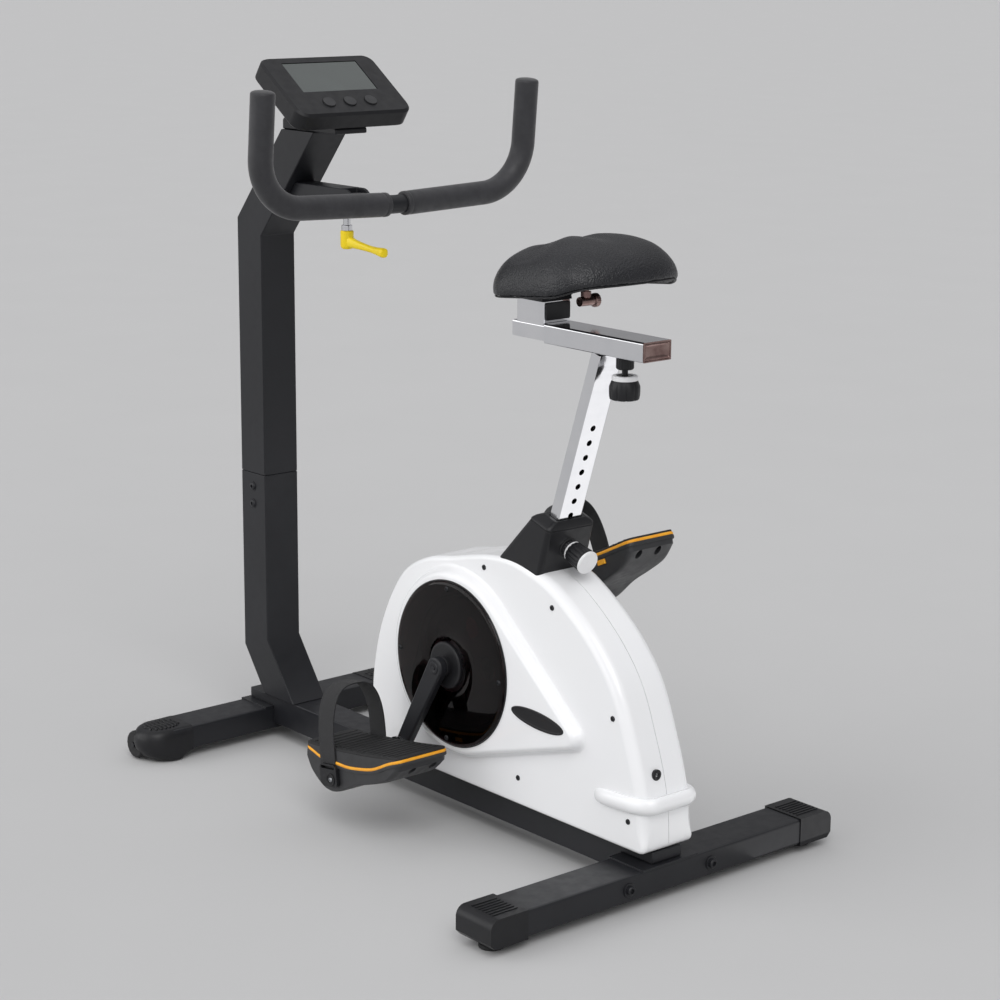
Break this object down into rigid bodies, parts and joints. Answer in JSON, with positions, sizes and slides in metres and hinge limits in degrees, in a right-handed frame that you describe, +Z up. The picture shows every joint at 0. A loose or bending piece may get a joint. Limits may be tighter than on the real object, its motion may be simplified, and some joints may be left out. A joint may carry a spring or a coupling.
{
  "type": "bicycle ergometer",
  "caption": "Upright exercise bike with a white moulded drive housing, long foot-plate pedals with straps, a bent mast with a U-shaped handlebar, and a sliding saddle on a chrome post.",
  "frame": {"origin": "on the floor, under the middle of the bounding box", "axes": "+Z up, -X towards the front (the mast), -Y towards the rider's left"},
  "size_m": [1.072, 0.704, 1.2009],
  "materials": {
    "black_steel": "satin powder coat",
    "black_plastic": "fine grain",
    "grey_plastic": "fine grain",
    "white_shell": "gloss",
    "smoked_window": "clear smoked gloss",
    "chrome": "polished",
    "steel": "zinc plated",
    "cast_iron": "painted",
    "rubber": "matte",
    "foam": "foam skin",
    "vinyl": "pebbled vinyl",
    "yellow_plastic": "satin",
    "webbing": "woven",
    "display": "gloss, display off"
  },
  "bodies": {
    "frame": {"front_stabiliser": "black_steel", "rear_stabiliser": "black_steel", "base_rail": "black_steel", "front_cap_left": "black_plastic", "front_cap_right": "black_plastic", "rear_cap_left": "black_plastic", "rear_cap_right": "black_plastic", "mast_lower": "black_steel", "mast_upper": "black_steel", "stem_bracket": "black_steel", "clamp_stud": "chrome", "console_bracket": "black_plastic", "console": "black_plastic", "console_screen": "display", "housing_left": "white_shell", "housing_right": "white_shell", "window_left": "smoked_window", "window_right": "smoked_window", "power_inlet": "black_plastic", "inner_frame": "black_steel", "drive_belt": "rubber", "brake_magnet": "black_steel", "post_shroud": "black_plastic", "seat_sleeve": "black_steel", "height_knob_barrel": "chrome"},
    "wheel_left": {"transport_wheel_left": "rubber"},
    "wheel_right": {"transport_wheel_right": "rubber"},
    "foot_left": {"level_foot_left": "rubber"},
    "foot_right": {"level_foot_right": "rubber"},
    "bar": {"handlebar": "black_steel", "grip_left": "foam", "grip_right": "foam"},
    "lever": {"clamp_lever": "yellow_plastic"},
    "button_down": {"console_button_down": "grey_plastic"},
    "button_start": {"console_button_start": "grey_plastic"},
    "button_up": {"console_button_up": "grey_plastic"},
    "cranks": {"crank_axle": "steel", "drive_pulley": "cast_iron", "crank_left": "black_steel", "crank_right": "black_steel", "pedal_spindle_left": "steel", "pedal_spindle_right": "steel"},
    "left_pedal": {"pedal_left": "grey_plastic", "pedal_strap_left": "webbing"},
    "right_pedal": {"pedal_right": "grey_plastic", "pedal_strap_right": "webbing"},
    "idler": {"idler_arm": "black_steel"},
    "idler_roller": {"idler_wheel": "steel"},
    "fly": {"flywheel": "cast_iron"},
    "post": {"seat_post": "chrome", "saddle_rail": "chrome", "rail_plug": "black_plastic", "rail_knob_barrel": "black_plastic"},
    "post_plunger": {"height_knob": "black_plastic"},
    "rail_plunger": {"rail_knob": "black_plastic"},
    "slider": {"saddle_slider": "chrome", "saddle_clamp": "black_steel"},
    "seat": {"saddle_pan": "black_plastic", "saddle": "vinyl"}
  },
  "joints": [
    {"name": "crank_spin", "type": "hinge", "parent": "frame", "child": "cranks", "pos_m": [0.095, 0, 0.277], "axis": [0, 1, 0], "continuous": true},
    {"name": "flywheel_spin", "type": "hinge", "parent": "frame", "child": "fly", "pos_m": [-0.017, 0, 0.184], "axis": [0, 1, 0], "continuous": true},
    {"name": "idler_swing", "type": "hinge", "parent": "frame", "child": "idler", "pos_m": [0.08281, 0, 0.121], "axis": [0, 1, 0], "range_deg": [-6, 0], "stiffness_Nm_per_rad": 8},
    {"name": "idler_spin", "type": "hinge", "parent": "idler", "child": "idler_roller", "pos_m": [0.02481, 0, 0.14258], "axis": [0, 1, 0], "continuous": true},
    {"name": "left_pedal_spin", "type": "hinge", "parent": "cranks", "child": "left_pedal", "pos_m": [0.01, 0, 0.12978], "axis": [0, 1, 0], "continuous": true},
    {"name": "right_pedal_spin", "type": "hinge", "parent": "cranks", "child": "right_pedal", "pos_m": [0.18, 0, 0.42422], "axis": [0, 1, 0], "continuous": true},
    {"name": "seat_height", "type": "slide", "parent": "frame", "child": "post", "axis": [0.3156, 0, 0.9489], "range_m": [-0.2, 0.075]},
    {"name": "height_plunger", "type": "slide", "parent": "frame", "child": "post_plunger", "axis": [0.9489, 0, -0.3156], "range_m": [0, 0.009], "stiffness_N_per_m": 1500},
    {"name": "saddle_fore_aft", "type": "slide", "parent": "post", "child": "slider", "axis": [1, 0, 0], "range_m": [-0.1, 0]},
    {"name": "rail_plunger", "type": "slide", "parent": "post", "child": "rail_plunger", "axis": [0, 0, -1], "range_m": [0, 0.01], "stiffness_N_per_m": 1500},
    {"name": "saddle_tilt", "type": "hinge", "parent": "slider", "child": "seat", "pos_m": [0.245, 0, 0.884], "axis": [0, 1, 0], "range_deg": [-6, 6]},
    {"name": "bar_tilt", "type": "hinge", "parent": "frame", "child": "bar", "pos_m": [-0.245, 0, 0.975], "axis": [0, 1, 0], "range_deg": [-15, 15]},
    {"name": "lever_turn", "type": "hinge", "parent": "frame", "child": "lever", "pos_m": [-0.265, 0, 0.908], "axis": [0, 0, -1], "range_deg": [0, 180]},
    {"name": "left_wheel_spin", "type": "hinge", "parent": "frame", "child": "wheel_left", "pos_m": [-0.512, 0, 0.026], "axis": [0, 1, 0], "continuous": true},
    {"name": "right_wheel_spin", "type": "hinge", "parent": "frame", "child": "wheel_right", "pos_m": [-0.512, 0, 0.026], "axis": [0, 1, 0], "continuous": true},
    {"name": "left_foot_height", "type": "slide", "parent": "frame", "child": "foot_left", "axis": [0, 0, -1], "range_m": [0, 0.012]},
    {"name": "right_foot_height", "type": "slide", "parent": "frame", "child": "foot_right", "axis": [0, 0, -1], "range_m": [0, 0.012]},
    {"name": "press_down", "type": "slide", "parent": "frame", "child": "button_down", "axis": [-0.5736, 0, -0.8192], "range_m": [0, 0.002], "stiffness_N_per_m": 400},
    {"name": "press_start", "type": "slide", "parent": "frame", "child": "button_start", "axis": [-0.5736, 0, -0.8192], "range_m": [0, 0.002], "stiffness_N_per_m": 400},
    {"name": "press_up", "type": "slide", "parent": "frame", "child": "button_up", "axis": [-0.5736, 0, -0.8192], "range_m": [0, 0.002], "stiffness_N_per_m": 400}
  ],
  "couplings": [
    {"joint": "flywheel_spin", "follows": "crank_spin", "ratio": 4.0769},
    {"joint": "idler_spin", "follows": "crank_spin", "ratio": -6.625}
  ]
}
